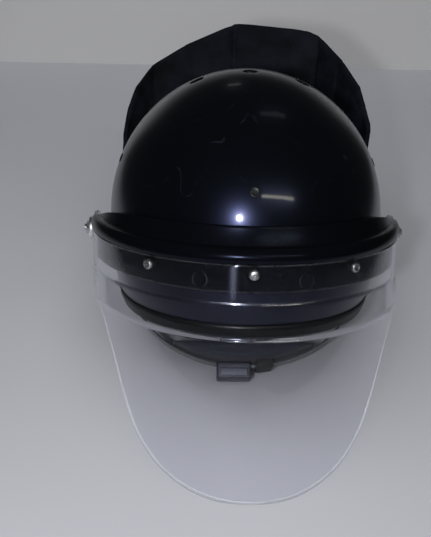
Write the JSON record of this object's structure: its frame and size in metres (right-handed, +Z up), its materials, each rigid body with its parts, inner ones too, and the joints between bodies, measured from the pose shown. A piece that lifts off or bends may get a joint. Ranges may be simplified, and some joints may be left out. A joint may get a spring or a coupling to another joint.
{
  "type": "riot helmet",
  "caption": "Police riot helmet with a clear pivoting face visor, rubber seal, foam liner, buckled chin strap and raised cloth neck guard.",
  "frame": {"origin": "on the table, under the middle of the whole helmet's box", "axes": "+Z up from the table, -Y the way the visor faces, +X to the wearer's left"},
  "size_m": [0.2856, 0.4642, 0.2492],
  "materials": {
    "shell_black": "high gloss with fine scratches",
    "edging_rubber": "matt",
    "vent_plastic": "matt",
    "blackened_steel": "black, slightly worn",
    "zinc_steel": "bright zinc plate",
    "bright_steel": "bright",
    "liner_foam": "moulded foam, matt",
    "pad_cloth": "brushed cloth over foam",
    "visor_clear": "clear polycarbonate, polished",
    "seal_rubber": "satin",
    "strip_plastic": "satin black",
    "bush_plastic": "matt black",
    "washer_nylon": "natural nylon",
    "strap_webbing": "woven webbing",
    "buckle_plastic": "moulded, satin",
    "release_plastic": "moulded, satin grey",
    "guard_cloth": "coated black cloth with soft folds"
  },
  "bodies": {
    "helmet": {"shell": "shell_black", "rim_trim": "edging_rubber", "vent_inserts": "vent_plastic", "shell_rivets": "blackened_steel", "rivet_washers": "zinc_steel", "foam_liner": "liner_foam", "crown_pad": "pad_cloth", "brow_pad": "pad_cloth", "nape_pad": "pad_cloth", "temple_pads": "pad_cloth", "pivot_bolts": "zinc_steel", "pivot_bushes": "bush_plastic", "friction_washers": "washer_nylon", "pivot_plates": "zinc_steel", "spring_washers": "zinc_steel", "pivot_nuts": "zinc_steel", "chin_strap_left": "strap_webbing", "chin_strap_right": "strap_webbing", "strap_anchors": "zinc_steel", "strap_rivets": "bright_steel", "chin_cup": "pad_cloth", "buckle_body": "buckle_plastic", "buckle_tongue": "bright_steel", "strap_slider": "buckle_plastic", "neck_guard": "guard_cloth", "guard_snaps": "blackened_steel"},
    "visor": {"visor": "visor_clear", "visor_seal": "seal_rubber", "seal_strip": "strip_plastic", "strip_buttons": "strip_plastic", "visor_screws": "zinc_steel", "visor_nuts": "zinc_steel"},
    "release": {"buckle_release": "release_plastic"}
  },
  "joints": [
    {"name": "visor_hinge", "type": "hinge", "parent": "helmet", "child": "visor", "pos_m": [0, -0.00472, 0.10446], "axis": [-1, 0, 0], "range_deg": [0, 75]},
    {"name": "release_push", "type": "slide", "parent": "helmet", "child": "release", "axis": [0, 0.649, -0.7608], "range_m": [0, 0.0025], "stiffness_N_per_m": 800, "springref_m": -0.001}
  ]
}
